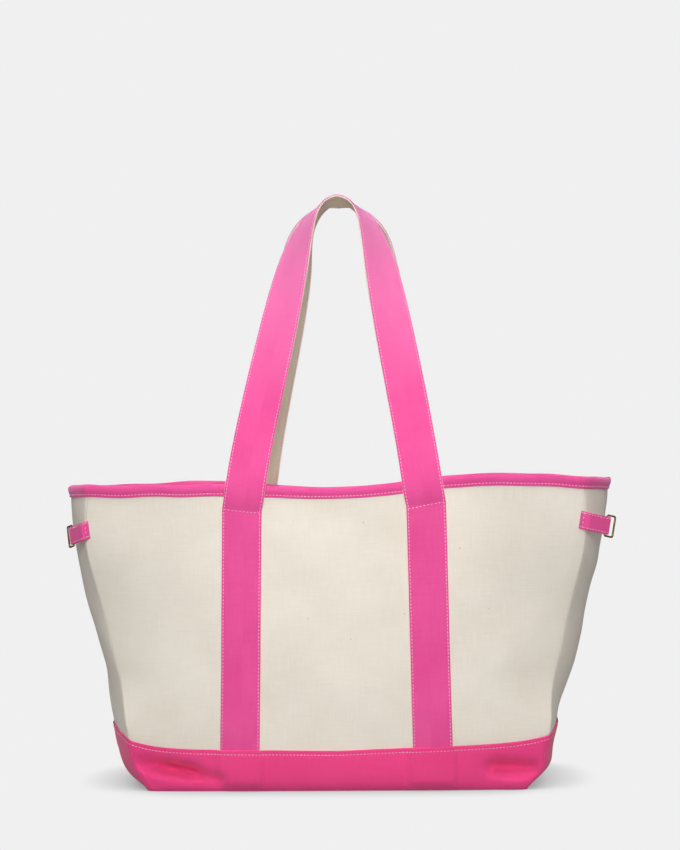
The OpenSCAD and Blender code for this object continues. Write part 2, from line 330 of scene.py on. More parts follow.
def sheet_mesh(name, outer, inner, uv, material):
    """A closed sheet of cloth between two grids of points with the same rows and columns."""
    rows, cols = outer.shape[:2]
    half = rows * cols
    border = [(0, c) for c in range(cols - 1)] + [(r, cols - 1) for r in range(rows - 1)]
    border += [(rows - 1, c) for c in range(cols - 1, 0, -1)]
    border += [(r, 0) for r in range(rows - 1, 0, -1)]
    faces, uvs = [], []

    def add(corners):
        faces.append([layer * half + r * cols + c for layer, r, c in corners])
        uvs.extend(uv[r, c] for _, r, c in corners)

    for r in range(rows - 1):
        for c in range(cols - 1):
            ring = [(r, c), (r, c + 1), (r + 1, c + 1), (r + 1, c)]
            add([(0, *p) for p in ring])
            add([(1, *p) for p in reversed(ring)])
    for a, b in zip(border, border[1:] + border[:1]):
        add([(0, *b), (0, *a), (1, *a), (1, *b)])
    return new_object(name, np.concatenate([outer.reshape(-1, 3), inner.reshape(-1, 3)]),
                      faces, uvs, material)


def swept_mesh(name, sections, material, closed=False):
    """A strip made of closed sections, one after another along its length."""
    count, size = sections.shape[:2]
    middle = sections.mean(1)
    along = np.r_[0, np.cumsum(np.linalg.norm(np.diff(middle, axis=0), axis=1))]
    loop = np.concatenate([sections, sections[:, :1]], 1)
    around = np.linalg.norm(np.diff(loop, axis=1), axis=2).mean(0)
    around = np.r_[0, np.cumsum(around)]
    last_gap = np.linalg.norm(middle[0] - middle[-1])
    along = np.r_[along, along[-1] + last_gap]
    faces, uvs = [], []
    for i in range(count if closed else count - 1):
        for j in range(size):
            k = (i + 1) % count
            m = (j + 1) % size
            faces.append([i * size + j, i * size + m, k * size + m, k * size + j])
            uvs += [(around[j], along[i]), (around[j + 1], along[i]),
                    (around[j + 1], along[i + 1]), (around[j], along[i + 1])]
    if not closed:
        for i in (0, count - 1):
            faces.append([i * size + j for j in range(size)])
            uvs += [(around[j], along[i]) for j in range(size)]
    return new_object(name, sections, faces, uvs, material)


# ---- Canvas body ----

def wall_sheet(name, wall, material, cols, rows):
    u = columns(cols)[None, :]
    h = (FOOT_H + (CANVAS_TOP - FOOT_H) * np.linspace(0, 1, rows) ** 1.15)[:, None]
    outer = surface(wall, u, h)
    inner = surface(wall, u, h, -CANVAS_T)
    reach = flat_wall(wall, *np.broadcast_arrays(u, h))[0]
    uv = np.stack(np.broadcast_arrays(u * reach, h), -1)
    return sheet_mesh(name, outer, inner, uv, material)


def build_panels(canvas):
    for wall, piece, node, cols in (
        ("front", "front_canvas", "front_panel", 190),
        ("back", "back_canvas", "back_panel", 150),
        ("left", "left_gusset_canvas", "left_gusset", 70),
        ("right", "right_gusset_canvas", "right_gusset", 70),
    ):
        made = wall_sheet(piece, wall, canvas, cols, 130)
        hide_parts(node)
        finish_piece(made, "bag")


def outline_grid(off, h, rings, cols):
    """Rings of points from the middle of the base out to its walls."""
    edge = np.concatenate([surface(w, columns(cols)[:-1], h, off) for w in WALL_ORDER])
    edge[:, 2] = 0
    middle = edge.mean(0)
    share = np.linspace(0, 1, rings)[:, None, None]
    grid = middle + (edge - middle) * share
    return np.concatenate([grid, grid[:, :1]], 1)


def disc_mesh(name, top, bottom, material):
    """A closed flat sheet made of rings of points, the first of them a single middle point."""
    rings, cols = top.shape[0], top.shape[1] - 1
    points, faces, uvs = [], [], []
    for grid in (top, bottom):
        points.append(grid[0, :1])
        points.append(grid[1:, :-1].reshape(-1, 3))
    half = 1 + (rings - 1) * cols

    def index(layer, ring, c):
        return layer * half + (0 if ring == 0 else 1 + (ring - 1) * cols + c % cols)

    def add(corners):
        faces.append([index(*corner) for corner in corners])
        uvs.extend(tuple(top[r, c % cols][:2]) for _, r, c in corners)

    for layer in (0, 1):
        for c in range(cols):
            add([(layer, 0, 0), (layer, 1, c), (layer, 1, c + 1)])
            for r in range(1, rings - 1):
                add([(layer, r, c), (layer, r + 1, c), (layer, r + 1, c + 1), (layer, r, c + 1)])
    for c in range(cols):
        add([(0, rings - 1, c), (0, rings - 1, c + 1), (1, rings - 1, c + 1), (1, rings - 1, c)])
    return new_object(name, np.concatenate(points), faces, uvs, material)


def build_floor_plies(canvas, base_cloth):
    """The canvas floor inside the bag, and the coloured ply under it."""
    grid = outline_grid(-CANVAS_T - 0.6 * MM, FOOT_H + 1.5 * MM, 16, 40)
    wave = ripples(grid[..., 0], grid[..., 1], 91, 6, 90 * MM, 0.5 * MM)
    top, bottom = grid.copy(), grid.copy()
    bottom[..., 2], top[..., 2] = (side + wave for side in FLOOR_PLY)
    floor = disc_mesh("inner_floor_canvas", top, bottom, canvas)
    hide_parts("inner_base")
    finish_piece(floor, "bag")
    grid = outline_grid(0.4 * MM, FOOT_H, 16, 40)
    top, bottom = grid.copy(), grid.copy()
    bottom[..., 2], top[..., 2] = BASE_PLY
    ply = disc_mesh("base_bottom_ply", top, bottom, base_cloth)
    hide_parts("base_bottom")
    finish_piece(ply, "bag")


# ---- Base band ----

# Height of the band's top edge at each corner seam, and in the middle of each wall
BAND_CORNER = {"front_left": 53.5 * MM, "front_right": 56 * MM, "back": 54 * MM}
BAND_FRONT_MIDDLE = 42 * MM
BAND_BACK_MIDDLE = 44 * MM
BAND_SIDE_MIDDLE = 64 * MM
# How far the band's stitching runs below its top edge
BAND_STITCH_DROP = 4.5 * MM
# How much the band stands out where it covers the foot of a strap
STRAP_STEP = 2.9 * MM


def band_top(wall, u):
    """Height of the band's top edge: low in the middle of each face, arched on the sides."""
    left, right, back = (BAND_CORNER[k] for k in ("front_left", "front_right", "back"))
    if wall == "front":
        steady = np.where(u > 0, 0.5, 0.2)
        climb = steady * np.abs(u) + (1 - steady) * np.abs(u) ** 9
        return mix(BAND_FRONT_MIDDLE, np.where(u > 0, right, left), climb)
    if wall == "back":
        return mix(BAND_BACK_MIDDLE, back, u ** 4)
    corners = mix(right, back, (u + 1) / 2) if wall == "right" else mix(back, left, (u + 1) / 2)
    return corners + (BAND_SIDE_MIDDLE - (corners + back) / 2) * (1 - u ** 2)


def strap_x(side, h):
    """Place of a sewn strap's middle line; side is -1 for the left strap and 1 for the right."""
    return side * mix(*STRAP_SPACING, h / STITCH_H) / 2


def over_strap(wall, u, h):
    """1 where a face's band lies over a strap, 0 beside it."""
    if wall not in FACES:
        return np.zeros(np.broadcast(u, h).shape)
    x = u * half_w(h)
    edge = STRAP_W / 2
    cover = sum(smooth(edge + 4.5 * MM, edge, np.abs(x - strap_x(side, h))) for side in (-1, 1))
    return cover * smooth(STRAP_FOOT - 6 * MM, STRAP_FOOT + 3 * MM, h)


def band_point(wall, u, h, off):
    """A point of the band: below the foot of the walls it curls under, level with the floor."""
    low = np.maximum(h, FOOT_H)
    step = STRAP_STEP * over_strap(wall, u, low) * (off > 0)
    point = surface(wall, u, low, off + step)
    point[..., 2] -= low - h
    return point


def band_section(wall, u):
    """The closed section of the band at one column, as offsets and heights."""
    top = float(band_top(wall, u))
    edge = [(0.25, 0.3), (0.9, 0.0), (1.5, 0.15), (1.85, 0.8),
            (1.85, 2.2), (1.7, 3.6), (1.55, 4.5), (1.7, 5.4)]
    outer = [(off * MM, top - drop * MM) for off, drop in edge]
    foot = [(1.8, 7), (1.75, 5), (1.55, 3.2), (1.05, 1.7), (0.1, 0.7), (-1.5, 0.2), (-6, 0.1)]
    back = [(-6, 1.3), (-1.5, 1.4), (-0.2, 2.2), (0.15, 3.6), (0.25, 6)]
    foot = [(off * MM, h * MM) for off, h in foot]
    back = [(off * MM, h * MM) for off, h in back]
    rise = np.linspace(top - 7 * MM, 9 * MM, 24)
    outer += [(1.85 * MM, h) for h in rise] + foot + back
    outer += [(0.25 * MM, h) for h in np.linspace(10 * MM, top - 3 * MM, 8)]
    return np.array(outer)


def build_bands(base_cloth):
    for wall, cols in (("front", 170), ("right", 60), ("back", 130), ("left", 60)):
        sections = []
        for u in columns(cols):
            part = band_section(wall, u)
            sections.append(band_point(wall, np.full(len(part), u), part[:, 1], part[:, 0]))
        band = swept_mesh(f"base_band_{wall}", np.array(sections), base_cloth)
        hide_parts(f"base_{wall}")
        finish_piece(band, "bag")


def band_stitch_rows():
    rows = []
    for wall in WALL_ORDER:
        u = columns(220)[1:-1]
        h = band_top(wall, u) - BAND_STITCH_DROP
        rows.append(band_point(wall, u, h, np.full_like(u, 1.65 * MM)))
    return rows


# ---- Rim binding ----

def binding_section():
    """Closed section of the binding roll, as offset from the canvas face and depth below the rim."""
    roll = [(0.25, 12.2), (0.9, 12.5), (1.5, 12.1), (1.7, 11.3), (1.5, 10.5), (1.35, 9.9), (1.5, 9.3),
            (2.1, 8.0), (2.65, 6.4), (2.8, 4.6), (2.55, 2.8), (1.85, 1.3), (0.8, 0.35), (-0.6, 0.0)]
    inside = [(-1.2 - off, depth) for off, depth in reversed(roll[:-1])]
    lining = [(-1.3, 4), (-0.6, 2.2), (0.1, 4)]
    return np.array(roll + inside + lining) * MM


def build_binding(tape):
    part = binding_section()
    sections = []
    for wall in WALL_ORDER:
        for u in columns(171 if wall in FACES else 61)[:-1]:
            sections.append(surface(wall, np.full(len(part), u), RIM_H - part[:, 1], part[:, 0]))
    binding = swept_mesh("rim_binding_tape", np.array(sections), tape, closed=True)
    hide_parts("rim_binding")
    finish_piece(binding, "bag")


def binding_stitch_rows():
    """Closed rows of stitching round the outside and the inside of the binding."""
    rows = []
    for off in (1.45 * MM, -2.65 * MM):
        walls = [surface(w, columns(200)[:-1], RIM_H - 9.9 * MM, off) for w in WALL_ORDER]
        rows.append(np.concatenate(walls + [walls[0][:1]]))
    return rows


# ---- Straps and handles ----

# Control points of a handle's middle line from its foot to its top, as distance from the
# bag's middle, distance from its middle plane, and height
HANDLE_TOP = 615
HANDLE_TOP_Y = 22
HANDLE_CURVE = np.array([
    (95, 95.6, 292.3),
    (86, 114, 334),
    (90, 65, 388),
    (32, 44, HANDLE_TOP - 84),
    (58, HANDLE_TOP_Y, HANDLE_TOP),
    (0, HANDLE_TOP_Y, HANDLE_TOP),
]) * MM
# The handles lean a little to the right at their tops
HANDLE_LEAN = 4.5 * MM
# How much wider the back handle's shoulders stand
BACK_SHOULDER = 5 * MM
# The strap turns this far edge-on at the top of a handle, and how that turn grows towards it
APEX_TURN = math.radians(102)
TURN_START = 1.3
TURN_END = 4
# Share of each half of a handle over which it takes up the facing of the sewn strap
FOOT_SHARE = 0.1
FORWARD = np.array([0, -1.0, 0])


def handle_point(t):
    """The front handle's middle line, t from -1 at its left foot to 1 at its right."""
    s = 1 - abs(t)
    order = len(HANDLE_CURVE) - 1
    weights = [math.comb(order, k) * s ** k * (1 - s) ** (order - k) for k in range(order + 1)]
    x, y, z = weights @ HANDLE_CURVE
    return np.array([math.copysign(x, t) + HANDLE_LEAN * smooth(0, 1, s), -y, z])


def handle_frame(t):
    """Which way the strap's coloured face looks, and its direction across."""
    step = 0.002
    along = unit(handle_point(min(1, t + step)) - handle_point(max(-1, t - step)))
    level = unit(FORWARD - (FORWARD @ along) * along)
    outward = np.cross(level, along)
    turn = APEX_TURN * (1 - abs(t) ** TURN_START) ** TURN_END
    free = math.cos(turn) * level + math.sin(turn) * outward
    settle = min(1, (1 - abs(t)) / FOOT_SHARE)
    facing = unit(mix(FORWARD, free, settle))
    foot_across = np.array([1.0 if t < 0 else -1.0, 0, 0])
    return facing, unit(mix(foot_across, np.cross(along, free), settle))


def sewn_rows(face, side, v, off):
    """The sewn part of a strap: one row for each height, v across it, off from between its plies."""
    h = np.linspace(STRAP_FOOT, STITCH_H, SEWN_ROWS)[:, None]
    x = strap_x(side, h) - side * v[None, :]
    return surface(face, FACE_SIGN[face] * x / half_w(h), h, off[None, :] + PLY_OFF)


def strap_rows(face, v, off):
    """Rows of points along a whole strap: up one side of a face, over the handle, down the other."""
    v, off = np.asarray(v, float), np.asarray(off, float)
    sign = np.array([1, FACE_SIGN[face], 1])
    up = sewn_rows(face, -1, v, off)
    down = sewn_rows(face, 1, v, off)[::-1]
    free = []
    for t in np.linspace(-1, 1, HANDLE_ROWS)[1:-1]:
        facing, across = handle_frame(t)
        points = handle_point(t) + v[:, None] * across + off[:, None] * facing
        if face == "back":
            points[:, 0] += math.copysign(BACK_SHOULDER, t) * hump(abs(t), 0.2, 0.1)
        foot, start = (up[-1], -1) if t < 0 else (down[0], 1)
        facing, across = handle_frame(start)
        cut = handle_point(start) + v[:, None] * across + off[:, None] * facing
        fade = 1 - smooth(0, 0.3, 1 - abs(t))
        free.append(points * sign + (foot - cut * sign) * fade)
    return np.concatenate([up, free, down])


def mirrored_section(half):
    """A section from its right half, given from the outside of the strap round to its inside."""
    half = np.array(half)
    return np.concatenate([half, half[::-1] * (-1, 1)]) * MM


def strap_face_section():
    """The coloured ply, folded under at its edges, with a groove where each seam pulls it in."""
    return mirrored_section([
        (1.5, 1.36), (7, 1.36), (12, 1.36), (16.5, 1.36), (17.8, 1.28), (18.5, 1.08), (19.1, 1.24),
        (19.8, 1.2), (20.25, 0.9), (20.4, 0.4), (20.2, 0.06), (13, 0.04), (4, 0.04),
    ])


def strap_lining_section():
    """The natural ply behind it, sewn flush, so that it shows as a pale line along each edge."""
    return mirrored_section([
        (3, -0.02), (13, -0.02), (20.3, -0.04), (20.6, -0.35), (20.6, -0.9), (20.2, -1.3),
        (19.3, -1.3), (18.5, -1.14), (17.7, -1.3), (11, -1.34), (3, -1.34),
    ])


def build_straps(dyed, lining):
    for face in FACES:
        nodes = [f"{face}_{side}" for side in ("left", "right")]
        for piece, section, material, slot_name, prefix, handle in (
            (f"{face}_strap", strap_face_section(), dyed, "dyed_canvas",
             "strap_", "_handle_face"),
            (f"{face}_strap_lining", strap_lining_section(), lining, "strap_lining",
             "strap_lining_", "_handle_lining"),
        ):
            rows = strap_rows(face, section[:, 0], section[:, 1])
            made = swept_mesh(piece, rows, material)
            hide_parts(*(prefix + n for n in nodes), face + handle)
            blend_to_handle(made)


def blend_to_handle(piece):
    """Bakes a strap's placement into its mesh."""
    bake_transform(piece)


def strap_stitch_rows(face):
    """Two rows down the whole of a strap, and the same two showing on the free handle's lining."""
    edges = np.array([-1, 1]) * STRAP_STITCH_V
    outer = strap_rows(face, edges, [1.15 * MM] * 2)
    free = slice(SEWN_ROWS + 2, -SEWN_ROWS - 2)
    inner = strap_rows(face, edges, [-1.2 * MM] * 2)[free]
    return [outer[:, 0], outer[:, 1], inner[:, 0], inner[:, 1]]


def cross_stitch_rows(face):
    """The rows across each strap that close the top of its sewn part."""
    reach = 17.5 * MM
    v = np.linspace(-reach, reach, 12)
    slant = 1.4 * MM if face == "front" else 0
    h = STITCH_H - 1.6 * MM - slant * v / reach
    rows = []
    for side in (-1, 1):
        x = strap_x(side, STITCH_H) - side * v
        rows.append(surface(face, FACE_SIGN[face] * x / half_w(h), h, PLY_OFF + 1.3 * MM))
    return rows


# ---- Seam tapes, tabs and rings ----

def build_seam_tapes(canvas):
    """The tapes that cover the raw edges inside the four corners."""
    part = np.array([(3, 0.3), (3.2, 1.2), (4.2, 1.9), (8, 2.1), (12, 1.9), (12.9, 1.2),
                     (13, 0.3)]) * MM
    for wall in FACES:
        for side in (-1, 1):
            end = "right" if side == FACE_SIGN[wall] else "left"
            node = f"seam_tape_{wall}_{end}"
            low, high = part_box(node)
            h = np.linspace(low.z, high.z, 60)
            u = side * (1 - part[None, :, 0] / half_w(h)[:, None])
            rows = surface(wall, u, h[:, None], -CANVAS_T - part[None, :, 1])
            tape = swept_mesh(f"seam_tape_{wall}_{end}_strip", rows, canvas)
            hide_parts(node)
            finish_piece(tape, "bag")


def tab_frame(name):
    """Pivot of a tab, its directions out to the ring's bar and upwards, and its length."""
    pivot = np.array(JOINTS[f"{name}_tab_fold"]["pos_m"])
    bar = np.array(JOINTS[f"{name}_ring_swing"]["pos_m"])
    up = np.array(JOINTS[f"{name}_ring_swing"]["axis"])
    up = up * np.sign(up[2])
    return pivot, unit(bar - pivot), up, np.linalg.norm(bar - pivot)


TAB_W = 18.5 * MM
# How far a tab runs on into its seam, inside its pivot
TAB_ROOT = 9 * MM
# Half the length over which a tab bends, each side of its pivot
TAB_BEND = 2.5 * MM
# Offset of the tab's stitching from the middle of its ply
TAB_STITCH_OFF = 0.6 * MM
WIRE_D = 2 * MM
# Inside width and height of a ring
RING_IN = (8.5 * MM, 19.6 * MM)


def tab_line(length):
    """Middle line of the tab's tape, in the tab's own plane: out, round the ring's bar and back."""
    gap = 0.75 * MM
    loop_r = WIRE_D / 2 + 0.9 * MM
    past = length + 2.2 * MM
    neck = length - 4 * MM
    out = [(x, gap) for x in np.linspace(-TAB_ROOT, neck, 14)]
    turn = [(past + loop_r * math.sin(a), loop_r * math.cos(a)) for a in np.linspace(0, math.pi, 13)]
    return np.array(out + turn + [(x, -y) for x, y in reversed(out)])


def canvas_under_tab(name, x):
    """Depth of the canvas face under the root of a tab, at a place x across the bag."""
    pivot = tab_frame(name)[0]
    wall = name.split("_")[0]
    u = np.linspace(0.85, 1, 60) * np.sign(pivot[0]) * FACE_SIGN[wall]
    face = surface(wall, u, pivot[2], 1.5 * MM)
    return np.interp(np.abs(x), np.abs(face[:, 0]), face[:, 1])


def tab_rows(name, across, off):
    """Rows of points along the tape of a tab, whose root is laid down on the canvas.

    across runs along the tape's width, and off out of its ply.
    """
    pivot, outward, up, length = tab_frame(name)
    thick = np.cross(up, outward)
    line = tab_line(length)
    tangent = unit(np.gradient(line, axis=0))
    normal = np.stack([-tangent[:, 1], tangent[:, 0]], -1)
    rows = []
    for point, away in zip(line, normal):
        flat = point + np.asarray(off)[:, None] * away
        place = pivot + flat[:, :1] * outward + flat[:, 1:] * thick
        root = pivot + point[0] * outward
        down = canvas_under_tab(name, root[0]) - root[1]
        place[:, 1] += down * (1 - smooth(-6 * MM, TAB_BEND, point[0]))
        rows.append(place + np.asarray(across)[:, None] * up)
    return np.array(rows)


def bend_at_seam(piece):
    """Bakes a tab piece's placement into its mesh."""
    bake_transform(piece)


def build_tab(name, dyed, thread):
    half = TAB_W / MM / 2
    part = mirrored_section([
        (2, 0.65), (half - 3, 0.65), (half - 2, 0.5), (half - 1.2, 0.62), (half - 0.3, 0.45),
        (half, 0), (half - 0.3, -0.45), (half - 1.2, -0.6), (3, -0.6),
    ])
    tab = swept_mesh(f"tab_{name}_tape", tab_rows(name, part[:, 0], part[:, 1]), dyed)
    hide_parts(f"tab_{name}")
    bend_at_seam(tab)
    edges = tab_rows(name, np.array([-1, 1]) * (TAB_W / 2 - 2 * MM), [TAB_STITCH_OFF] * 2)
    across = tab_rows(name, np.linspace(-7, 7, 8) * MM, [TAB_STITCH_OFF] * 8)
    rows = [edges[:, 0], edges[:, 1], across[1], across[-2]]
    bend_at_seam(sew(f"tab_{name}_stitches", rows, thread))


def build_ring(name, brass):
    """A rectangle of round wire with bent corners, through the tab's loop."""
    _, outward, up, _ = tab_frame(name)
    bar = np.array(JOINTS[f"{name}_ring_swing"]["pos_m"])
    thick = np.cross(up, outward)
    w, h = (side + WIRE_D for side in RING_IN)
    bend = 1.6 * MM
    line = []
    for corner, (x, z) in enumerate([(w, h / 2), (0, h / 2), (0, -h / 2), (w, -h / 2)]):
        cx = x - math.copysign(bend, x - w / 2)
        cz = z - math.copysign(bend, z)
        for a in np.linspace(0, math.pi / 2, 6):
            angle = corner * math.pi / 2 + a
            line.append((cx + bend * math.cos(angle), cz + bend * math.sin(angle)))
    line = np.array(line)
    tangent = unit(np.roll(line, -1, 0) - np.roll(line, 1, 0))
    sections = []
    for (x, z), (tx, tz) in zip(line, tangent):
        side_way = tz * outward - tx * up
        angles = np.linspace(0, 2 * math.pi, 12, endpoint=False)[:, None]
        ring = bar + x * outward + z * up
        sections.append(ring + WIRE_D / 2 * (np.cos(angles) * side_way + np.sin(angles) * thick))
    ring = swept_mesh(f"ring_{name}_wire", np.array(sections), brass, closed=True)
    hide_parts(f"ring_{name}")
    finish_piece(ring, f"{name}_ring")


# ---- Stitches ----

THREAD_T = 0.8 * MM
STITCH_PITCH = 3.6 * MM
STITCH_LENGTH = 2.7 * MM


def add(tree, kind, inputs=None, **settings):
    """Adds one node; inputs gives each named or numbered socket a value or another node's output."""
    made = tree.nodes.new(kind)
    for key, value in settings.items():
        setattr(made, key, value)
    for key, value in (inputs or {}).items():
        if isinstance(value, bpy.types.NodeSocket):
            tree.links.new(value, made.inputs[key])
        else:
            made.inputs[key].default_value = value
    return made


def stitch_inputs(tree):
    """Names the sizes, the seed and the material that a row of stitches takes."""
    face = tree.interface
    face.new_socket("Seam lines", in_out="INPUT", socket_type="NodeSocketGeometry")
    for name in ("Pitch", "Stitch length", "Thread thickness", "Unevenness"):
        face.new_socket(name, in_out="INPUT", socket_type="NodeSocketFloat")
    face.new_socket("Seed", in_out="INPUT", socket_type="NodeSocketInt")
    face.new_socket("Thread", in_out="INPUT", socket_type="NodeSocketMaterial")
    face.new_socket("Stitches", in_out="OUTPUT", socket_type="NodeSocketGeometry")
    return add(tree, "NodeGroupInput").outputs


def stitch_tree():
    """Sets short thread stitches along every edge line that it is given."""
    tree = bpy.data.node_groups.new("Stitch row", "GeometryNodeTree")
    given = stitch_inputs(tree)
    curve = add(tree, "GeometryNodeMeshToCurve", {"Mesh": given["Seam lines"]})
    spaced = add(tree, "GeometryNodeResampleCurve", {"Curve": curve.outputs[0], "Length": given["Pitch"]},
                 mode="LENGTH")
    tangent = add(tree, "GeometryNodeInputTangent")
    aligned = add(tree, "FunctionNodeAlignRotationToVector", {"Vector": tangent.outputs[0]}, axis="X")
    less = add(tree, "ShaderNodeMath", {0: 0.0, 1: given["Unevenness"]}, operation="SUBTRACT")
    swing = add(tree, "FunctionNodeRandomValue", {2: less.outputs[0], 3: given["Unevenness"],
                                                  "Seed": given["Seed"]}, data_type="FLOAT")
    yaw = add(tree, "ShaderNodeCombineXYZ", {1: swing.outputs[1], 2: swing.outputs[1]})
    twist = add(tree, "FunctionNodeEulerToRotation", {0: yaw.outputs[0]})
    turned = add(tree, "FunctionNodeRotateRotation", {0: aligned.outputs[0], 1: twist.outputs[0]},
                 rotation_space="LOCAL")
    half_l = add(tree, "ShaderNodeMath", {0: given["Stitch length"], 1: 0.5}, operation="MULTIPLY")
    half_t = add(tree, "ShaderNodeMath", {0: given["Thread thickness"], 1: 0.5}, operation="MULTIPLY")
    size = add(tree, "ShaderNodeCombineXYZ", {0: half_l.outputs[0], 1: half_t.outputs[0],
                                              2: half_t.outputs[0]})
    bead = add(tree, "GeometryNodeMeshUVSphere", {"Segments": 6, "Rings": 5, "Radius": 1.0})
    stitch = add(tree, "GeometryNodeTransform", {"Geometry": bead.outputs[0], "Scale": size.outputs[0]})
    placed = add(tree, "GeometryNodeInstanceOnPoints", {"Points": spaced.outputs[0],
                 "Instance": stitch.outputs[0], "Rotation": turned.outputs[0]})
    solid = add(tree, "GeometryNodeRealizeInstances", {0: placed.outputs[0]})
    shaded = add(tree, "GeometryNodeSetMaterial", {"Geometry": solid.outputs[0],
                                                   "Material": given["Thread"]})
    add(tree, "NodeGroupOutput", {0: shaded.outputs[0]})
    return tree


def sew(name, rows, thread, body=None):
    """Makes one mesh of the stitches along the given lines; it rides on a body if one is given."""
    points = np.concatenate(rows)
    edges, start = [], 0
    for row in rows:
        edges += [(start + i, start + i + 1) for i in range(len(row) - 1)]
        start += len(row)
    lines = bpy.data.meshes.new(name + "_lines")
    lines.from_pydata(points.tolist(), edges, [])
    guide = in_scene(name + "_guide", lines)
    sewing = guide.modifiers.new("Stitches", "NODES")
    sewing.node_group = STITCHES
    values = {"Pitch": STITCH_PITCH, "Stitch length": STITCH_LENGTH, "Thread thickness": THREAD_T,
              "Unevenness": 0.12, "Seed": 5, "Thread": thread}
    for socket in STITCHES.interface.items_tree:
        if socket.name in values:
            sewing[socket.identifier] = values[socket.name]
    evaluated = guide.evaluated_get(bpy.context.evaluated_depsgraph_get())
    mesh = bpy.data.meshes.new_from_object(evaluated)
    mesh.name = name
    bpy.data.objects.remove(guide)
    mesh.polygons.foreach_set("use_smooth", [True] * len(mesh.polygons))
    stitches = in_scene(name, mesh)
    if body:
        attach(stitches, body)
    return stitches


def sew_bag(thread):
    sew("rim_stitches", binding_stitch_rows(), thread, "bag")
    sew("base_band_stitches", band_stitch_rows(), thread, "bag")
    for face in FACES:
        edge = sew(f"{face}_strap_stitches", strap_stitch_rows(face), thread)
        blend_to_handle(edge)
        sew(f"{face}_cross_stitches", cross_stitch_rows(face), thread, "bag")


# ---- Finishes ----

def linear(colour):
    """An sRGB hex colour as the linear RGBA that a shader takes."""
    values = [int(colour[i:i + 2], 16) / 255 for i in (1, 3, 5)]
    return [v / 12.92 if v <= 0.04045 else ((v + 0.055) / 1.055) ** 2.4 for v in values] + [1.0]


def cleared_tree(block):
    """The empty node tree of a new material or world."""
    block.use_nodes = True
    block.node_tree.nodes.clear()
    return block.node_tree


def new_material(name):
    material = bpy.data.materials.new(name)
    tree = cleared_tree(material)
    shader = add(tree, "ShaderNodeBsdfPrincipled")
    add(tree, "ShaderNodeOutputMaterial", {"Surface": shader.outputs[0]})
    return material, tree, shader


def weave(tree, pitch, wander):
    """Height of a plain weave: threads over and under each other, one pitch apart, a little uneven."""
    cloth = add(tree, "ShaderNodeUVMap", uv_map="cloth")
    drift = add(tree, "ShaderNodeTexNoise", {"Vector": cloth.outputs[0], "Scale": 90.0, "Detail": 1.0})
    moved = add(tree, "ShaderNodeVectorMath", {0: drift.outputs["Color"], 1: (wander,) * 3},
                operation="MULTIPLY")
    place = add(tree, "ShaderNodeVectorMath", {0: cloth.outputs[0], 1: moved.outputs[0]}, operation="ADD")
    turned = add(tree, "ShaderNodeVectorMath", {0: place.outputs[0], "Scale": math.pi / pitch},
                 operation="SCALE")
    axes = add(tree, "ShaderNodeSeparateXYZ", {0: turned.outputs[0]})
    warp = add(tree, "ShaderNodeMath", {0: axes.outputs[0]}, operation="SINE")
    weft = add(tree, "ShaderNodeMath", {0: axes.outputs[1]}, operation="SINE")
    cross = add(tree, "ShaderNodeMath", {0: warp.outputs[0], 1: weft.outputs[0]}, operation="MULTIPLY")
    return cloth, add(tree, "ShaderNodeMath", {0: cross.outputs[0], 1: 0.5, 2: 0.5},
                      operation="MULTIPLY_ADD").outputs[0]


def slubs(tree, cloth, stretch, scale):
    """Thick places in the yarn: noise drawn out along the threads of one direction."""
    pulled = add(tree, "ShaderNodeMapping", {"Vector": cloth.outputs[0], "Scale": stretch})
    return add(tree, "ShaderNodeTexNoise", {"Vector": pulled.outputs[0], "Scale": scale, "Detail": 2.0,
                                            "Roughness": 0.6}).outputs["Fac"]


def blend_colours(tree, factor, low, high, low_at=0.0, high_at=1.0):
    ramp = add(tree, "ShaderNodeValToRGB", {0: factor})
    ramp.color_ramp.elements[0].position = low_at
    ramp.color_ramp.elements[1].position = high_at
    ramp.color_ramp.elements[0].color = low
    ramp.color_ramp.elements[1].color = high
    return ramp.outputs[0]


def painted_top_light_share(tree):
    """Share of painted highlight: none up the body, growing towards the tops of the handles, where light
    from above falls.
    """
    place = add(tree, "ShaderNodeTexCoord")
    axes = add(tree, "ShaderNodeSeparateXYZ", {0: place.outputs["Object"]})
    return add(tree, "ShaderNodeMapRange", {"Value": axes.outputs[2], "From Min": 0.4, "From Max": 0.6,
                                            "To Max": 0.55}).outputs[0]


def seed_flecks(tree, cloth, colour, fleck):
    """Rare small specks of seed husk, each in about one cell of six."""
    speck = add(tree, "ShaderNodeTexVoronoi", {"Vector": cloth.outputs[0], "Scale": 70.0})
    near = add(tree, "ShaderNodeMath", {0: speck.outputs["Distance"], 1: 0.06},
               operation="LESS_THAN")
    some = add(tree, "ShaderNodeSeparateColor", {0: speck.outputs["Color"]})
    rare = add(tree, "ShaderNodeMath", {0: some.outputs[0], 1: 0.16}, operation="LESS_THAN")
    both = add(tree, "ShaderNodeMath", {0: near.outputs[0], 1: rare.outputs[0]},
               operation="MULTIPLY")
    amount = add(tree, "ShaderNodeMath", {0: both.outputs[0], 1: 0.45}, operation="MULTIPLY")
    return add(tree, "ShaderNodeMix", {0: amount.outputs[0], 6: colour, 7: linear(fleck)},
               data_type="RGBA").outputs[2]


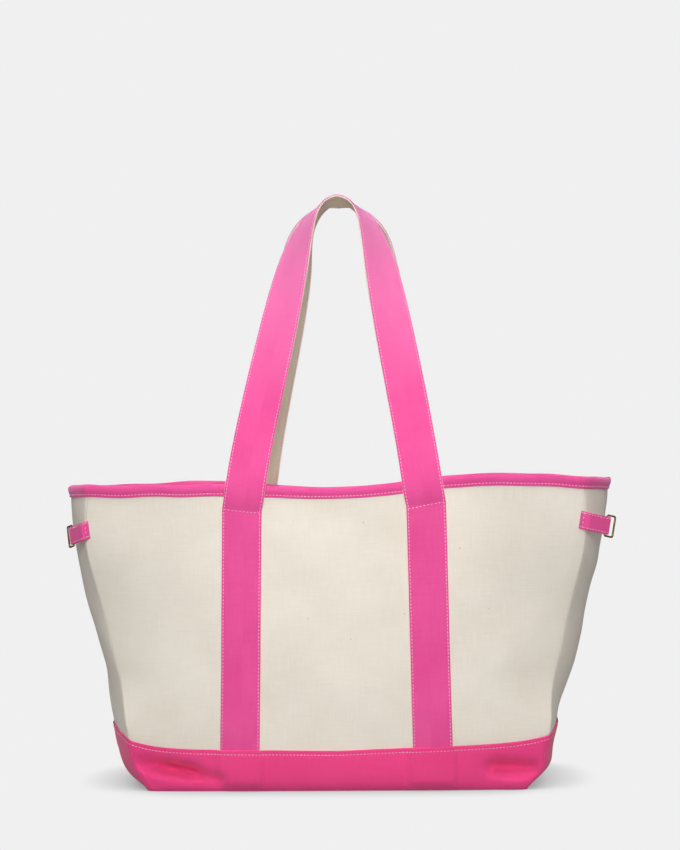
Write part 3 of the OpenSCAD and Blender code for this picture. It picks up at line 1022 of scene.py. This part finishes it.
def woven_cloth(name, thread, shade, pitch, contrast, bump, fleck=None, sheen=0.12,
                nap="#ffffff", painted_top_light_tint=None):
    """Plain-woven cotton: mottled yarn colour, threads drawn at a pitch that shows, a soft nap."""
    material, tree, shader = new_material(name)
    cloth, height = weave(tree, pitch, 0.0012)
    warp = slubs(tree, cloth, (1.0, 0.06, 1.0), 700.0)
    weft = slubs(tree, cloth, (0.06, 1.0, 1.0), 700.0)
    yarn = add(tree, "ShaderNodeMath", {0: warp, 1: weft}, operation="ADD")
    cloud = add(tree, "ShaderNodeTexNoise", {"Vector": cloth.outputs[0], "Scale": 14.0, "Detail": 3.0})
    soft = add(tree, "ShaderNodeMath", {0: cloud.outputs["Fac"], 1: 1.0, 2: -0.5},
               operation="MULTIPLY_ADD")
    mottle = add(tree, "ShaderNodeMath", {0: yarn.outputs[0], 1: 0.5, 2: soft.outputs[0]},
                 operation="MULTIPLY_ADD")
    # The weave's dips are painted darker as shade, on top of the bump; the mottle from slubs and cloud is
    # the yarn's own uneven colour.
    tone = add(tree, "ShaderNodeMath", {0: height, 1: contrast, 2: mottle.outputs[0]},
               operation="MULTIPLY_ADD")
    colour = blend_colours(tree, tone.outputs[0], linear(shade), linear(thread), 0.2, 0.85 + contrast)
    if fleck:
        colour = seed_flecks(tree, cloth, colour, fleck)
    # Painted highlight: the colour is mixed paler towards the tops of the handles, standing in for light
    # from above.
    if painted_top_light_tint:
        colour = add(tree, "ShaderNodeMix", {0: painted_top_light_share(tree), 6: colour, 7: linear(painted_top_light_tint)},
                     data_type="RGBA").outputs[2]
    tree.links.new(colour, shader.inputs["Base Color"])
    relief_height = add(tree, "ShaderNodeMath", {0: yarn.outputs[0], 1: 0.35, 2: height},
                        operation="MULTIPLY_ADD")
    bumped = add(tree, "ShaderNodeBump", {"Height": relief_height.outputs[0], "Strength": bump,
                                          "Distance": 0.3 * MM})
    tree.links.new(bumped.outputs[0], shader.inputs["Normal"])
    shader.inputs["Roughness"].default_value = 0.92
    shader.inputs["Specular IOR Level"].default_value = 0.25
    shader.inputs["Sheen Weight"].default_value = sheen
    shader.inputs["Sheen Roughness"].default_value = 0.5
    shader.inputs["Sheen Tint"].default_value = linear(nap)
    return material


def natural_canvas():
    """Undyed cotton duck: matt, warm white, seed flecks; the real 0.6 mm threads drawn at 1.5 mm."""
    return woven_cloth("Undyed cotton duck", "#f1eade", "#e3dacb", 1.5 * MM, 0.12, 0.35, fleck="#a98f6c")


def lining_twill():
    """Undyed cotton on the inside of the handles, a little warmer than the body, and painted lighter to
    stand in for light falling on it.
    """
    return woven_cloth("Undyed strap cotton", "#fff4e4", "#f6e6d2", 1.3 * MM, 0.1, 0.3)


def dyed_canvas():
    """Piece-dyed pink cotton canvas: an even dye, with a painted highlight that makes the tops of the
    handles paler, where light from above falls.
    """
    return woven_cloth("Pink dyed cotton canvas", "#f25ca2", "#e4478f", 1.3 * MM, 0.2, 0.4, sheen=0.5,
                       nap="#ffc4ee", painted_top_light_tint="#ff9ed4")


def base_canvas():
    """The same dye on the heavier canvas of the base, a little deeper."""
    return woven_cloth("Pink dyed base canvas", "#fc4d91", "#f03f84", 1.5 * MM, 0.18, 0.4, sheen=0.2)


def sewing_thread():
    """Spun polyester thread, pale pink, with a soft lustre."""
    material, tree, shader = new_material("Pale pink sewing thread")
    place = add(tree, "ShaderNodeTexCoord")
    noise = add(tree, "ShaderNodeTexNoise", {"Vector": place.outputs["Object"], "Scale": 900.0})
    colour = blend_colours(tree, noise.outputs["Fac"], linear("#f0a9cb"), linear("#fad3e4"), 0.3, 0.7)
    tree.links.new(colour, shader.inputs["Base Color"])
    shader.inputs["Roughness"].default_value = 0.6
    return material


def aged_brass():
    """Drawn brass wire with an antique finish: dark in places, rubbed bright on others."""
    material, tree, shader = new_material("Antiqued brass wire")
    place = add(tree, "ShaderNodeTexCoord")
    patina = add(tree, "ShaderNodeTexNoise", {"Vector": place.outputs["Object"], "Scale": 160.0,
                                              "Detail": 4.0})
    colour = blend_colours(tree, patina.outputs["Fac"], linear("#6d5530"), linear("#b9965a"), 0.35, 0.68)
    tree.links.new(colour, shader.inputs["Base Color"])
    rough = add(tree, "ShaderNodeMapRange", {"Value": patina.outputs["Fac"], "To Min": 0.48,
                                             "To Max": 0.26})
    tree.links.new(rough.outputs[0], shader.inputs["Roughness"])
    shader.inputs["Metallic"].default_value = 1.0
    return material


# ---- Studio ----

BACKDROP = "#f0f0f0"
# Colour of the painted contact shadow on the floor
CONTACT_SHADOW = "#8a8587"
# Strength of the light from all round, and of the light that the floor sends up
WORLD_FILL = 0.38
FLOOR_BOUNCE = 0.5


def seen_apart(tree, giving, seen):
    """One shader for the light that a surface gives, and another for how the camera sees it."""
    path = add(tree, "ShaderNodeLightPath")
    return add(tree, "ShaderNodeMixShader", {0: path.outputs["Is Camera Ray"], 1: giving.outputs[0],
                                             2: seen.outputs[0]}).outputs[0]


def build_world():
    """A pale studio: an even backdrop, and soft light that is stronger from above."""
    world = bpy.data.worlds.new("Studio")
    tree = cleared_tree(world)
    place = add(tree, "ShaderNodeTexCoord")
    axes = add(tree, "ShaderNodeSeparateXYZ", {0: place.outputs["Generated"]})
    height = add(tree, "ShaderNodeMapRange", {"Value": axes.outputs[2], "From Min": -1.0, "From Max": 1.0})
    fill = blend_colours(tree, height.outputs[0], (0.4, 0.4, 0.4, 1), (0.95, 0.95, 0.95, 1), 0.35, 0.8)
    soft = add(tree, "ShaderNodeBackground", {"Color": fill, "Strength": WORLD_FILL})
    seen = add(tree, "ShaderNodeBackground", {"Color": linear(BACKDROP), "Strength": 1.0})
    add(tree, "ShaderNodeOutputWorld", {"Surface": seen_apart(tree, soft, seen)})
    bpy.context.scene.world = world


def floor_finish():
    """Seamless pale paper that glows evenly, with a painted contact shadow from ambient occlusion only
    where the bag keeps light off it.
    """
    material = bpy.data.materials.new("Pale paper sweep")
    tree = cleared_tree(material)
    open_sky = add(tree, "ShaderNodeAmbientOcclusion", {"Distance": 0.085})
    paper = blend_colours(tree, open_sky.outputs["AO"], linear(CONTACT_SHADOW), linear(BACKDROP), 0.05, 0.8)
    seen = add(tree, "ShaderNodeEmission", {"Color": paper, "Strength": 1.0})
    bounce = add(tree, "ShaderNodeEmission", {"Color": paper, "Strength": FLOOR_BOUNCE})
    lit = seen_apart(tree, bounce, seen)
    place = add(tree, "ShaderNodeTexCoord")
    away = add(tree, "ShaderNodeVectorMath", {0: place.outputs["Object"]}, operation="LENGTH")
    fade = add(tree, "ShaderNodeMapRange", {"Value": away.outputs["Value"], "From Min": 0.42,
                                            "From Max": 0.75}, interpolation_type="SMOOTHSTEP")
    clear = add(tree, "ShaderNodeBsdfTransparent")
    both = add(tree, "ShaderNodeMixShader", {0: fade.outputs[0], 1: lit, 2: clear.outputs[0]})
    add(tree, "ShaderNodeOutputMaterial", {"Surface": both.outputs[0]})
    return material


def build_floor():
    mesh = bpy.data.meshes.new("studio_floor")
    disc = bmesh.new()
    bmesh.ops.create_circle(disc, cap_ends=True, segments=96, radius=0.8)
    disc.to_mesh(mesh)
    disc.free()
    floor = in_scene("studio_floor", mesh)
    mesh.materials.append(floor_finish())


def add_softbox(name, place, target, size, power, spread=180):
    lamp = bpy.data.lights.new(name, "AREA")
    lamp.shape = "RECTANGLE"
    lamp.size, lamp.size_y = size
    lamp.energy = power
    lamp.spread = math.radians(spread)
    box = in_scene(name, lamp)
    box.location = place
    box.rotation_euler = (Vector(target) - Vector(place)).to_track_quat("-Z", "Y").to_euler()


def build_camera():
    lens = bpy.data.cameras.new("Camera")
    lens.lens = 94.16
    lens.sensor_width = 36
    lens.clip_end = 20
    camera = in_scene("Camera", lens)
    camera.location = (87.1 * MM, -2384 * MM, 377 * MM)
    yaw, level, roll = (Matrix.Rotation(math.radians(angle), 3, axis)
                        for angle, axis in ((2.0, "Z"), (90, "X"), (-0.6, "Z")))
    camera.rotation_euler = (yaw @ level @ roll).to_euler()
    bpy.context.scene.camera = camera


def build_studio():
    build_world()
    build_floor()
    add_softbox("key_softbox", (0.0, -2.1, 1.6), (0.0, 0, 0.3), (0.6, 0.6), 0.95, spread=28)
    add_softbox("front_softbox", (0.1, -2.6, 0.45), (0, 0, 0.33), (0.5, 0.5), 0.48, spread=28)
    add_softbox("top_softbox", (0.0, -0.45, 2.3), (0, 0, 0.3), (1.5, 1.1), 18)
    add_softbox("back_softbox", (-0.3, 2.6, 1.3), (0, 0, 0.25), (1.4, 1.0), 20)
    bpy.context.scene.view_settings.view_transform = "Standard"
    build_camera()


build_studio()
STITCHES = stitch_tree()
CANVAS = natural_canvas()
LINING = lining_twill()
DYED = dyed_canvas()
BASE_CLOTH = base_canvas()
THREAD = sewing_thread()
BRASS = aged_brass()

build_floor_plies(CANVAS, BASE_CLOTH)
build_panels(CANVAS)
build_bands(BASE_CLOTH)
build_binding(DYED)
build_straps(DYED, LINING)
build_seam_tapes(CANVAS)
for face in FACES:
    for side in ("left", "right"):
        build_tab(f"{face}_{side}", DYED, THREAD)
        build_ring(f"{face}_{side}", BRASS)
sew_bag(THREAD)
